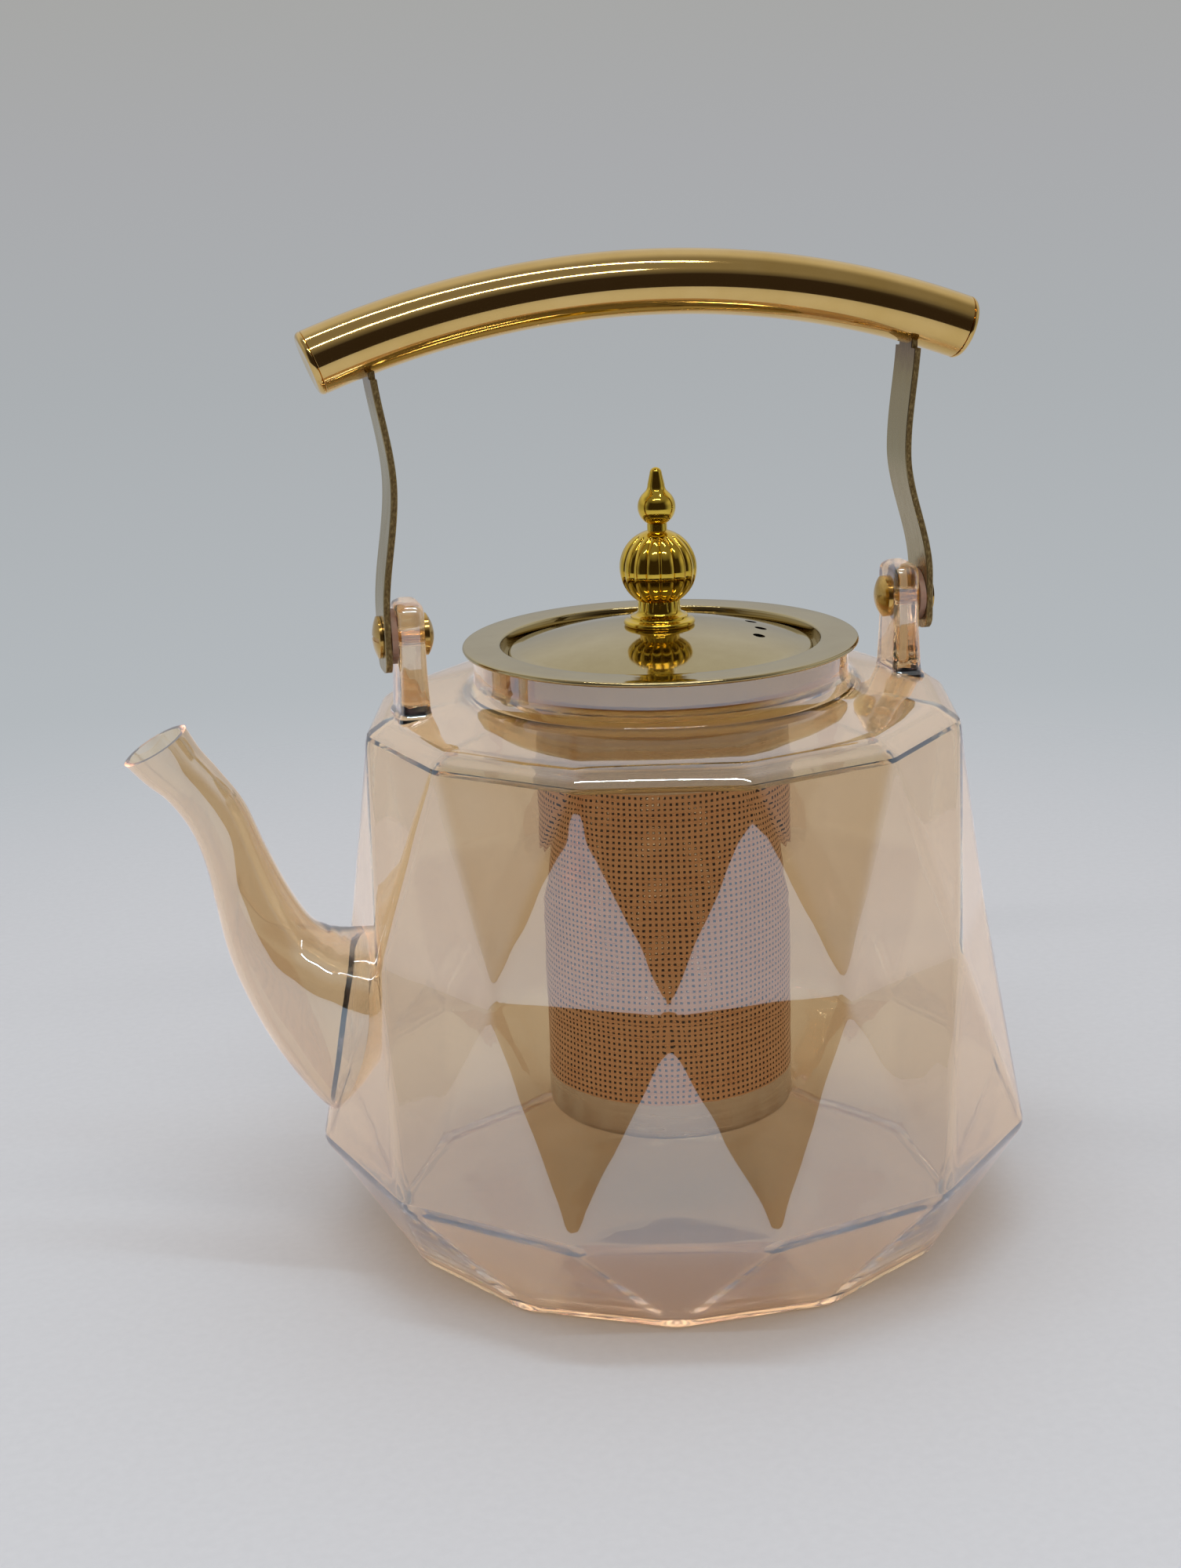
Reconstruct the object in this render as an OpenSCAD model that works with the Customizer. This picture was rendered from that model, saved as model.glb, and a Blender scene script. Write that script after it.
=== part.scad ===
// Faceted glass teapot: fused glass body, spout and lugs, a swinging arched
// handle, a lift-out steel infuser and its lid. Millimetres, +Z up, the spout
// points to -X and the base stands on z = 0.

/* [Glass body] */
// Corner radius of the wide belt near the base
belt_r = 76.4; // [72:0.1:80]
// Height of the belt
belt_z = 24.4; // [20:0.1:28]
// Corner radius of the ring where the diamonds meet
mid_r = 67.5; // [65:0.1:70]
// Height of that ring
mid_z = 68.4; // [64:0.1:72]
// Corner radius of the shoulder
shoulder_r = 62.3; // [60:0.1:64]
// Height of the shoulder corners
shoulder_z = 111.3; // [109:0.1:112]
// Corner radius of the flat base
base_r = 59.3; // [55:0.1:62]
// Glass wall thickness
glass_t = 2.2; // [1.8:0.1:2.8]

/* [Neck] */
// Outer radius of the neck
neck_r = 38.8; // [38.4:0.1:39.4]
// Inner radius of the neck
neck_bore_r = 37; // [36.8:0.1:37.2]
// Height of the neck's top edge
neck_top = 125.3; // [125:0.1:125.6]

/* [Spout] */
// Glass wall thickness of the spout
spout_t = 1.9; // [1.5:0.1:2.2]
// Half width of the spout where it meets the body
root_half_w = 16; // [14:0.1:17]
// Half width of the spout at its narrowest
throat_half_w = 5.9; // [5.6:0.1:6.4]

/* [Lugs and pivots] */
// Distance of each glass lug's middle from the pot's axis
lug_x = 52.5; // [52:0.1:52.8]
// Thickness of a lug
lug_t = 5.6; // [5:0.1:6]
// Width of a lug
lug_w = 11.6; // [10:0.1:12.5]
// Height of the handle's pivot axis
pivot_z = 131.2; // [130:0.1:132]
// Radius of the pivot screw's shank
shank_r = 1.9; // [1.6:0.05:2]
// Radius of the pivot screw's head and of the nut
head_r = 4.3; // [3.8:0.1:5]

/* [Handle] */
// Outer radius of the handle tube
tube_r = 6.5; // [6:0.05:7]
// Radius of the tube's arch, on its centreline
arch_r = 190.5; // [185:0.5:196]
// Height of the top of the tube's centreline
arch_top = 198.6; // [196:0.1:202]
// Half angle of the arch
arch_half = 20.6; // [19.5:0.1:21]
// Width of a strap
strap_w = 11; // [9:0.1:12]
// Thickness of a strap
strap_t = 1.4; // [1.2:0.1:1.6]

/* [Infuser] */
// Outer radius of the infuser's rim
rim_r = 41; // [40:0.1:42]
// Thickness of the rim
rim_t = 1; // [0.8:0.1:1.4]
// Radius of the rim's opening
mouth_r = 33.06; // [32.5:0.02:33.5]
// Outer radius of the cup that sits in the neck
cup_r = 36.5; // [36:0.1:36.6]
// Height of the cup's floor
cup_z = 112.3; // [110:0.1:114]
// Outer radius of the perforated basket
basket_r = 26.1; // [25:0.1:27]
// Height of the basket's underside
basket_z = 25; // [24:0.5:30]

/* [Lid] */
// Radius of the lid's edge
lid_r = 31.6; // [31:0.1:32]
// Height of the lid's middle
lid_top = 129.5; // [129:0.1:130]
// Height of the edge of the lid's dome
lid_edge_z = 124.6; // [124.2:0.1:124.8]
// Sheet thickness of the lid
lid_t = 0.8; // [0.6:0.1:1]
// Radius of each vent hole
vent_r = 1.25; // [0.8:0.05:1.5]

/* [Finial] */
// Radius of the ribbed ball
ball_r = 8; // [7:0.1:8.5]
// Height of the ribbed ball's middle
ball_z = 141.05; // [140:0.05:142]
// Radius of the small ball
bead_r = 3.9; // [3.4:0.1:4.2]
// Height of the small ball's middle
bead_z = 153.6; // [153:0.1:154]
// Height of the tip
tip_z = 161.7; // [160:0.1:163]

/* [Hidden] */
$fn = 96;
eps = 0.01;
glass_tint = [0.72, 0.56, 0.36, 0.45];
gold_tint = [0.83, 0.66, 0.32];
strap_tint = [0.62, 0.57, 0.48];
steel_tint = [0.72, 0.72, 0.7];
silicone_tint = [0.6, 0.42, 0.34, 0.8];
left = -1;
right = 1;

// --- glass body -------------------------------------------------------------
sides = 12;
half_step = 180 / sides;
// The shoulder rises in one flatter band from its corners to the neck
crown_r = 58;
crown_z = shoulder_z + 2.9;
collar_r = 40.9;
collar_z = 117.6;
inner_collar_r = 38.4;
inner_collar_z = 115.4;
floor_z = 2.4;

// One ring of corners, turned by phase degrees
function ring(r, z, phase) =
    [for (i = [0 : sides - 1]) [r * cos(phase + 360 * i / sides), r * sin(phase + 360 * i / sides), z]];
outer_rings = [ring(base_r, 0, half_step), ring(belt_r, belt_z, 0), ring(mid_r, mid_z, half_step),
               ring(shoulder_r, shoulder_z, 0), ring(crown_r, crown_z, 0), ring(collar_r, collar_z, 0)];
inner_rings = [ring(base_r - glass_t, floor_z, half_step), ring(belt_r - glass_t, belt_z + 0.5, 0),
               ring(mid_r - glass_t, mid_z, half_step), ring(shoulder_r - glass_t, shoulder_z - 1.5, 0),
               ring(crown_r - 1.2, crown_z - 2, 0), ring(inner_collar_r, inner_collar_z, 0)];

// --- spout ------------------------------------------------------------------
// Stations from the lip to the root: lower point x, z, upper point x, z,
// half width, and how much wider the upper half is than the lower one
root_egg = 0.25;
spout_stations = [
    [-110.7, 109.7, -98.2, 116.3, 7.1, 0],
    [-107.1, 105.5, -95.6, 111.4, 6.3, 0],
    [-102.7, 101.2, -92.4, 107.0, throat_half_w, 0],
    [-98.8, 94.8, -87.7, 99.8, 6.0, 0],
    [-96.5, 87.4, -84.1, 90.4, 6.6, 0],
    [-95.1, 79.2, -79.9, 80.6, 8.2, 0],
    [-93.4, 68.9, -75.6, 73.4, 10.6, 0.1],
    [-90.8, 60, -71.8, 70.6, 13, 0.2],
    [-86.2, 49, -69.6, 69.8, 14.8, root_egg],
    [-80.2, 38.6, -67.6, 69.6, 15.7, root_egg],
    [-74, 31, -64.8, 69.6, root_half_w, root_egg],
    [-69, 30.6, -60, 69.6, root_half_w, root_egg]];
spout_sides = 20;
spout_steps = 2;

// --- pivots and handle ------------------------------------------------------
lug_top = 138.5;
lug_foot = 108;
lug_round = 3.2;
washer_r = 5.6;
washer_t = 1.25;
washer_gap = 0.1;
lug_face = lug_x + lug_t / 2;
strap_in = lug_face + washer_t + washer_gap;
strap_out = strap_in + strap_t;
head_in = strap_out + washer_gap;
head_t = 1.6;
nut_t = 2.4;
shank_in = lug_x - lug_t / 2 - 1.6;
arch_z = arch_top - arch_r;
tube_wall = 1;
cap_t = 1.2;
cap_plug = 3;
// The grip sits a little towards the spout
arch_x = -1.25;
strap_top = 183;
tab_w = 7;
tab_top = 186.6;
strap_foot = 124.3;
// A strap's bend starts above the pivot, is deepest at its waist and ends in the grip
strap_bend_z = 136;
strap_waist_z = 162;
strap_bend_h = 26;
// How far the left and the right strap come in, at the waist and then at the grip
waist_in = [2.8, 4.9];
grip_in = [-0.3, 2.7];

// --- infuser and lid --------------------------------------------------------
cup_t = 0.8;
seat_z = 123;
seat_r = 29.6;
basket_t = 0.6;
skirt_r = 28.9;
skirt_z = 117.5;
dome_sag = lid_top - lid_edge_z;
dome_r = (lid_r * lid_r + dome_sag * dome_sag) / (2 * dome_sag);
dome_steps = 14;
knob_bore_r = 1.5;
knob_bore_top = 137;
flange_r = 7.4;
stem_r = 4.4;
waist_r = 2.05;
tip_r = 1.25;
// Vent holes: their distance from the middle and their directions
vent_ring_r = 21;
vent_angles = [-30, -10.5, 9];

// Height of the lid's outer surface at radius r
function dome_z(r) = lid_top - dome_r + sqrt(dome_r * dome_r - r * r);
// Points on an arc in the x, z half plane
function arc(cx, cz, r, a0, a1, n) =
    [for (i = [0 : n]) [cx + r * cos(a0 + (a1 - a0) * i / n), cz + r * sin(a0 + (a1 - a0) * i / n)]];

// --- mesh helpers -----------------------------------------------------------
// A closed solid from rings of n points; the side between rings k and k + 1
// follows the shorter diagonals when their corners are staggered
function band(k, n, staggered) = [for (i = [0 : n - 1]) let (j = (i + 1) % n, a = k * n, b = a + n)
    each staggered > 0 ? [[a + i, b + i, a + j], [a + j, b + i, b + j]] :
         staggered < 0 ? [[a + i, b + i, b + j], [a + i, b + j, a + j]] :
                         [[a + i, b + i, b + j, a + j]]];

module ring_solid(rings, staggers) {
    n = len(rings[0]);
    last = len(rings) - 1;
    side_faces = [for (k = [0 : last - 1]) each band(k, n, staggers[k])];
    bottom = [for (i = [0 : n - 1]) i];
    top = [for (i = [n - 1 : -1 : 0]) last * n + i];
    polyhedron(points = [for (r = rings) each r], faces = concat(side_faces, [bottom, top]), convexity = 6);
}

module body_outer() {
    ring_solid(outer_rings, [-1, 1, -1, 0, 0]);
}

module body_inner() {
    ring_solid(inner_rings, [-1, 1, -1, 0, 0]);
}

// Catmull-Rom value at t between b and c
function smooth(a, b, c, d, t) =
    b + 0.5 * t * ((c - a) + t * (2 * a - 5 * b + 4 * c - d + t * (3 * (b - c) + d - a)));
function station(list, k) = list[max(0, min(len(list) - 1, k))];
function smooth_stations(list) = concat(
    [for (k = [0 : len(list) - 2], s = [0 : spout_steps - 1])
        smooth(station(list, k - 1), list[k], list[k + 1], station(list, k + 2), s / spout_steps)],
    [list[len(list) - 1]]);
// The oval of one station, shrunk by the wall
function oval(s, wall) =
    let (mid = [s[0] + s[2], s[1] + s[3]] / 2, up = [s[2] - s[0], s[3] - s[1]] / 2, h = norm(up))
    [for (i = [0 : spout_sides - 1]) let (a = 360 * i / spout_sides, k = (h - wall) / h * cos(a))
        [mid[0] + up[0] * k, (wall - s[4]) * sin(a) * (1 + s[5] * cos(a)), mid[1] + up[1] * k]];

module spout_solid(stations, wall) {
    rings = [for (s = smooth_stations(stations)) oval(s, wall)];
    ring_solid(rings, [for (r = rings) -1]);
}

module spout_passage() {
    first = 2 * spout_stations[0] - spout_stations[1];
    spout_solid(concat([first], spout_stations), spout_t);
}

// --- glass ------------------------------------------------------------------
// The slab of space that the pot's floor fills
module floor_slab() {
    translate([-belt_r, -belt_r, 0]) cube([2 * belt_r, 2 * belt_r, floor_z]);
}

module glass_base() {
    color(glass_tint) intersection() {
        body_outer();
        floor_slab();
    }
}

module glass_body() {
    color(glass_tint) difference() {
        union() {
            body_outer();
            translate([0, 0, collar_z - 1.5]) cylinder(r = neck_r, h = neck_top - collar_z + 1.5);
        }
        body_inner();
        floor_slab();
        translate([0, 0, inner_collar_z - 1]) cylinder(r = neck_bore_r, h = neck_top - inner_collar_z + 2);
        spout_passage();
    }
}

module glass_spout() {
    color(glass_tint) difference() {
        spout_solid(spout_stations, 0);
        spout_passage();
        body_outer();
    }
}

// A rectangle with rounded upper corners, drawn in the y, z plane
function lug_outline() = concat(
    [[-lug_w / 2, lug_foot], [lug_w / 2, lug_foot]],
    arc(lug_w / 2 - lug_round, lug_top - lug_round, lug_round, 0, 90, 6),
    arc(lug_round - lug_w / 2, lug_top - lug_round, lug_round, 90, 180, 6));

// Turns a drawing in the x, y plane so that it stands in y, z, and gives it depth along +X
module stand_along_x(depth) {
    rotate([90, 0, 90]) linear_extrude(depth) children();
}

module pivot_cylinder(r, x0, x1) {
    translate([x0, 0, pivot_z]) rotate([0, 90, 0]) cylinder(r = r, h = x1 - x0);
}

// Everything at a pivot is drawn for the right side and mirrored for the left
module on_side(side) {
    if (side == left) mirror([1, 0, 0]) children();
    else children();
}

module glass_lug(side) {
    bore_gap = 0.1;
    color(glass_tint) difference() {
        on_side(side) translate([lug_x - lug_t / 2, 0, 0]) stand_along_x(lug_t) polygon(lug_outline());
        on_side(side) pivot_cylinder(shank_r + bore_gap, lug_x - lug_t, lug_x + lug_t);
        body_outer();
    }
}

// --- pivot hardware ---------------------------------------------------------
// A shallow domed disc along X with its flat side at x0; dir is 1 outward, -1 inward
module dome_disc(r, t, x0, dir) {
    crown = (r * r + t * t * 0.36) / (1.2 * t);
    profile = concat([[0, 0], [r, 0], [r, 0.4 * t]],
                     [for (i = [6 : -1 : 0]) let (q = r * i / 7) [q, t - crown + sqrt(crown * crown - q * q)]]);
    translate([x0, 0, pivot_z]) rotate([0, 90 * dir, 0]) rotate_extrude() polygon(profile);
}

module pivot_screw(side) {
    slot_w = 0.9;
    slot_depth = 0.7;
    color(gold_tint) on_side(side) {
        union() {
            pivot_cylinder(shank_r, shank_in, head_in + eps);
            difference() {
                dome_disc(head_r, head_t, head_in, 1);
                translate([head_in + head_t - slot_depth, -head_r, pivot_z - slot_w / 2])
                    cube([head_t, 2 * head_r, slot_w]);
            }
        }
    }
}

module pivot_nut(side) {
    face = lug_x - lug_t / 2;
    color(gold_tint) on_side(side) difference() {
        dome_disc(head_r, nut_t, face, -1);
        pivot_cylinder(shank_r, shank_in, face + 1);
    }
}

module pivot_washer(side) {
    bore_gap = 0.05;
    color(silicone_tint) on_side(side) difference() {
        pivot_cylinder(washer_r, lug_face, lug_face + washer_t);
        pivot_cylinder(shank_r + bore_gap, lug_face - 1, lug_face + washer_t + 1);
    }
}

// --- handle -----------------------------------------------------------------
// Sweeps a drawing round the arch, between two angles measured from the top
module sweep_arch(a0, a1) {
    translate([arch_x, 0, arch_z]) rotate([90, 0, 0]) rotate([0, 0, 90 + a0])
        rotate_extrude(angle = a1 - a0, $fn = 360) translate([arch_r, 0]) children();
}

module strap_slot(side) {
    slot_gap = 0.02;
    on_side(side) translate([strap_in_at(tab_top, side) - slot_gap, -tab_w / 2 - slot_gap, strap_top - 2])
        cube([strap_t + 2 * slot_gap, tab_w + 2 * slot_gap, tab_top - strap_top + 2 + slot_gap]);
}

module handle_tube() {
    color(gold_tint) difference() {
        sweep_arch(-arch_half, arch_half) difference() {
            circle(r = tube_r, $fn = 64);
            circle(r = tube_r - tube_wall, $fn = 64);
        }
        strap_slot(left);
        strap_slot(right);
    }
}

// A cap with a rounded edge and a plug that fits in the tube's end
module handle_cap(side) {
    plug_gap = 0.1;
    edge = 1.1;
    profile = concat([[0, -cap_plug], [tube_r - tube_wall - plug_gap, -cap_plug],
                      [tube_r - tube_wall - plug_gap, 0], [tube_r, 0]],
                     arc(tube_r - edge, cap_t - edge, edge, 0, 90, 5), [[0, cap_t]]);
    color(gold_tint) translate([arch_x, 0, arch_z]) on_side(side)
        translate([arch_r * sin(arch_half), 0, arch_r * cos(arch_half)])
        rotate([0, 90 + arch_half, 0]) rotate_extrude() polygon(profile);
}

// Inner face of a strap at height z: upright by the pivot, waisted above it
function ease(t) = t <= 0 ? 0 : t >= 1 ? 1 : t * t * (3 - 2 * t);
function strap_in_at(z, side) = let (i = side == left ? 0 : 1)
    strap_in - waist_in[i] * ease((z - strap_bend_z) / strap_bend_h)
    + (waist_in[i] - grip_in[i]) * ease((z - strap_waist_z) / strap_bend_h);
strap_levels = concat([strap_foot], [for (z = [strap_bend_z : 4 : strap_top - 2]) z], [strap_top]);

module strap_profile(levels, side) {
    polygon(concat([for (z = levels) [strap_in_at(z, side), z]],
                   [for (i = [len(levels) - 1 : -1 : 0]) [strap_in_at(levels[i], side) + strap_t, levels[i]]]));
}

module handle_strap(side) {
    hole_gap = 0.08;
    bevel = 3;
    tab_x = strap_in_at(tab_top, side);
    face = [[-strap_w / 2 + bevel, strap_foot], [strap_w / 2 - bevel, strap_foot],
            [strap_w / 2, strap_foot + bevel], [strap_w / 2, strap_top], [-strap_w / 2, strap_top],
            [-strap_w / 2, strap_foot + bevel]];
    color(strap_tint) on_side(side) difference() {
        union() {
            intersection() {
                rotate([90, 0, 0]) translate([0, 0, -strap_w]) linear_extrude(2 * strap_w)
                    strap_profile(strap_levels, side);
                stand_along_x(2 * strap_out) polygon(face);
            }
            translate([tab_x, -tab_w / 2, strap_top - 1]) cube([strap_t, tab_w, tab_top - strap_top + 1]);
        }
        pivot_cylinder(shank_r + hole_gap, strap_in - 1, strap_out + 1);
    }
}

// --- infuser ----------------------------------------------------------------
module infuser_rim() {
    wall = 0.8;
    roll = rim_t / 2;
    top = neck_top + rim_t;
    profile = concat(
        [[seat_r, seat_z - wall], [seat_r, seat_z], [mouth_r, seat_z]],
        arc(mouth_r + roll, top - roll, roll, 180, 90, 4),
        arc(rim_r - roll, top - roll, roll, 90, -90, 8),
        [[mouth_r + wall, neck_top], [mouth_r + wall, seat_z - wall]]);
    color(gold_tint) rotate_extrude() polygon(profile);
}

module infuser_cup() {
    color(steel_tint) rotate_extrude() polygon([
        [cup_r - cup_t, neck_top], [cup_r, neck_top], [cup_r, cup_z], [basket_r - basket_t, cup_z],
        [basket_r - basket_t, cup_z + cup_t], [cup_r - cup_t, cup_z + cup_t]]);
}

module infuser_basket() {
    color(steel_tint) translate([0, 0, basket_z + basket_t]) difference() {
        cylinder(r = basket_r, h = cup_z - basket_z - basket_t);
        translate([0, 0, -1]) cylinder(r = basket_r - basket_t, h = cup_z - basket_z + 2);
    }
}

module infuser_bottom() {
    color(steel_tint) translate([0, 0, basket_z]) cylinder(r = basket_r, h = basket_t);
}

// --- lid --------------------------------------------------------------------
module lid_dome() {
    inner_r = lid_r - lid_t;
    outer = [for (i = [0 : dome_steps]) let (r = lid_r * i / dome_steps) [r, dome_z(r)]];
    inner = [for (i = [dome_steps : -1 : 0]) let (r = inner_r * i / dome_steps) [r, dome_z(r) - lid_t]];
    color(gold_tint) difference() {
        rotate_extrude() polygon(concat(outer, [[lid_r, seat_z], [inner_r, seat_z]], inner));
        for (a = vent_angles) rotate([0, 0, a]) translate([vent_ring_r, 0, skirt_z])
            cylinder(r = vent_r, h = lid_top - skirt_z, $fn = 24);
        translate([0, 0, skirt_z]) cylinder(r = knob_bore_r + 0.1, h = lid_top - skirt_z + 1, $fn = 32);
    }
}

module lid_skirt() {
    inner_r = skirt_r - lid_t;
    weld_gap = 0.03;
    color(gold_tint) rotate_extrude() polygon([
        [inner_r, skirt_z], [skirt_r, skirt_z], [skirt_r, dome_z(skirt_r) - lid_t - weld_gap],
        [inner_r, dome_z(inner_r) - lid_t - weld_gap]]);
}

// Outline of the finial from its foot to its tip
function knob_outline() =
    let (edge = 0.55, foot_z = dome_z(flange_r),
         ball_low = -acos(stem_r / ball_r), ball_high = acos(waist_r / ball_r),
         bead_low = -acos(waist_r / bead_r), bead_high = 42)
    concat(
        [for (i = [0 : 8]) let (r = (flange_r - edge) * i / 8) [r, dome_z(r)]],
        arc(flange_r - edge, dome_z(flange_r - edge) + edge, edge, -60, 90, 6),
        arc(stem_r + 1.4, foot_z + 2 * edge + 1.4, 1.4, -90, -180, 5),
        arc(0, ball_z, ball_r, ball_low, ball_high, 18),
        arc(0, bead_z, bead_r, bead_low, bead_high, 10),
        arc(tip_r + 2.7, bead_z + 4.6, 2.2, 215, 180, 3),
        arc(0, tip_z - tip_r, tip_r, 0, 90, 5));

module lid_knob() {
    color(gold_tint) difference() {
        rotate_extrude() polygon(knob_outline());
        translate([0, 0, lid_top - 2]) cylinder(r = knob_bore_r, h = knob_bore_top - lid_top + 2, $fn = 32);
    }
}

knob_washer_t = 0.8;
knob_washer_r = 5.5;
knob_washer_top = dome_z(knob_washer_r) - lid_t - 0.02;

module knob_screw() {
    head = 1.8;
    head_top = knob_washer_top - knob_washer_t;
    color(steel_tint) union() {
        translate([0, 0, head_top - head]) cylinder(r = 3.2, h = head, $fn = 48);
        translate([0, 0, head_top - 0.5]) cylinder(r = knob_bore_r, h = knob_bore_top - head_top + 0.5, $fn = 32);
    }
}

module knob_washer() {
    color(steel_tint) translate([0, 0, knob_washer_top - knob_washer_t]) difference() {
        cylinder(r = knob_washer_r, h = knob_washer_t, $fn = 64);
        translate([0, 0, -1]) cylinder(r = knob_bore_r, h = knob_washer_t + 2, $fn = 32);
    }
}

glass_body();
glass_base();
glass_spout();
glass_lug(left);  // glass_lug_left
glass_lug(right);  // glass_lug_right
pivot_screw(left);  // pivot_screw_left
pivot_screw(right);  // pivot_screw_right
pivot_nut(left);  // pivot_nut_left
pivot_nut(right);  // pivot_nut_right
pivot_washer(left);  // pivot_washer_left
pivot_washer(right);  // pivot_washer_right
handle_tube();
handle_cap(left);  // handle_cap_left
handle_cap(right);  // handle_cap_right
handle_strap(left);  // handle_strap_left
handle_strap(right);  // handle_strap_right
infuser_rim();
infuser_cup();
infuser_basket();
infuser_bottom();
lid_dome();
lid_skirt();
lid_knob();
knob_screw();
knob_washer();
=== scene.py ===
"""A faceted lustre-glass teapot with a lift-out steel infuser and an arched gold handle."""

import math

import bmesh
import bpy
import numpy as np
from mathutils import Matrix, Vector


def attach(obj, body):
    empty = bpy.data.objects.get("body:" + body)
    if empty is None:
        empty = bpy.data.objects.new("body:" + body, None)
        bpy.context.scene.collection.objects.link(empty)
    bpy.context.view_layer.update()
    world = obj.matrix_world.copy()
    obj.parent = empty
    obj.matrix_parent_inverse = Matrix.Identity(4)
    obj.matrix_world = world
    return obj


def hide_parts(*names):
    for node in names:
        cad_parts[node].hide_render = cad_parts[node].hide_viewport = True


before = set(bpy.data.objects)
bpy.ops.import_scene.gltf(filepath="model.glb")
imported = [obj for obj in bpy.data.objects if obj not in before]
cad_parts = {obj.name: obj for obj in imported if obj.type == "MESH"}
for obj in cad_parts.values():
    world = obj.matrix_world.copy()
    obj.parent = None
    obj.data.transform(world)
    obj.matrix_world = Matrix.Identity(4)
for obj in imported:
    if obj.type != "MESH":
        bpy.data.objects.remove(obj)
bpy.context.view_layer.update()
MM = 0.001

# --- sizes of the pot, in millimetres -----------------------------------------
SIDES = 12
GLASS_WALL = 1.4
# Corner radius and height of each ring of facets: base, belt, waist, shoulder
FACET_RINGS = [(60.2, 0.0), (76.4, 24.4), (67.5, 68.4), (62.3, 111.3)]
CROWN = (58.0, 114.2)
COLLAR = (41.6, 117.3)
INNER_COLLAR = (38.6, 115.2)
NECK_R = 38.8
NECK_BORE_R = 37.0
NECK_TOP = 125.3
GLASS_FLOOR = 2.4

SPOUT_WALL = 1.15
# Lip to root: lower point x, z, upper point x, z, half width, how egg-shaped
SPOUT_STATIONS = [
    (-110.7, 109.7, -98.2, 116.3, 7.1, 0),
    (-107.1, 105.5, -95.6, 111.4, 6.3, 0),
    (-102.7, 101.2, -92.4, 107.0, 5.9, 0),
    (-98.8, 94.8, -87.7, 99.8, 6.0, 0),
    (-96.5, 87.4, -84.1, 90.4, 6.6, 0),
    (-95.1, 79.2, -79.9, 80.6, 8.2, 0),
    (-93.4, 68.9, -75.6, 73.4, 10.6, 0.1),
    (-90.8, 60.0, -71.8, 70.6, 13.0, 0.2),
    (-86.2, 49.0, -69.6, 69.8, 14.8, 0.25),
    (-80.2, 38.6, -67.6, 69.6, 15.7, 0.25),
    (-74.0, 31.0, -64.8, 69.6, 16.0, 0.25),
    (-69.0, 30.6, -60.0, 69.6, 16.0, 0.25),
]

LUG_X = 52.5
LUG_T = 5.6
LUG_W = 11.6
LUG_TOP = 138.5
LUG_FOOT = 108.0
PIVOT_Z = 131.2
SHANK_R = 1.9

TUBE_R = 6.5
ARCH_R = 190.5
ARCH_X = -1.25
ARCH_Z = 8.1
ARCH_HALF = math.radians(20.6)
STRAP_IN = 56.65
STRAP_T = 1.4
STRAP_W = 11.0
STRAP_FOOT = 124.3
STRAP_TOP = 183.0
# Where the strap starts to bend in and out again, and how high each bend is
STRAP_BEND_Z = 136
STRAP_WAIST_Z = 162
STRAP_BEND_H = 26
# How far the left and the right strap come in, at the waist and then at the grip
WAIST_IN = {-1: 2.8, 1: 4.9}
GRIP_IN = {-1: -0.3, 1: 2.7}
TAB_W = 7.0
TAB_TOP = 186.6

BASKET_R = 26.1
BASKET_Z = 25.0
MESH_FOOT = 33.0
MESH_HEAD = 100.0
# The real etched holes are about 0.9 mm apart. They are drawn 1.2 mm apart, to show
HOLES_ROUND = 136
HOLE_ROWS = 55
HOLE_SHARE = 0.43
CUP_R = 36.5
CUP_FLOOR = 112.3
RIM_R = 41
SEAT_R = 33.06
SEAT_BORE_R = 29.6
LID_R = 31.6
LID_TOP = 129.5
LID_EDGE_Z = 124.6
LID_T = 0.8
SEAT_Z = 123.0
# The vents' radius, how far out they lie, and where they lie round the lid in degrees
VENT_R = 1.25
VENT_OUT = 21.0
VENT_TURNS = (-30, -10.5, 9)
DOME_SAG = LID_TOP - LID_EDGE_Z
DOME_R = (LID_R**2 + DOME_SAG**2) / (2 * DOME_SAG)


# --- colour and node helpers ----------------------------------------------------
def colour(hex_code):
    """An sRGB hex code as a linear colour with alpha."""
    parts = [int(hex_code[i : i + 2], 16) / 255 for i in (1, 3, 5)]
    return [p / 12.92 if p <= 0.04045 else ((p + 0.055) / 1.055) ** 2.4 for p in parts] + [1.0]


def add(tree, kind, sockets=None, stops=(), **settings):
    """Adds a node, sets its properties, and sets or links its input sockets. stops are
    a colour ramp's positions and hex codes."""
    made = tree.nodes.new(kind)
    for name, value in settings.items():
        setattr(made, name, value)
    for name, value in (sockets or {}).items():
        if isinstance(value, bpy.types.NodeSocket):
            tree.links.new(value, made.inputs[name])
        else:
            made.inputs[name].default_value = value
    for index, (position, hex_code) in enumerate(stops):
        if index >= len(made.color_ramp.elements):
            made.color_ramp.elements.new(1.0)
        made.color_ramp.elements[index].position = position
        made.color_ramp.elements[index].color = colour(hex_code)
    return made


def material(name):
    """A new material with an empty tree and its output node."""
    made = bpy.data.materials.new(name)
    made.use_nodes = True
    made.node_tree.nodes.clear()
    return made, made.node_tree, add(made.node_tree, "ShaderNodeOutputMaterial")


# --- materials -------------------------------------------------------------------
GLASS_IOR = 1.47


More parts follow.
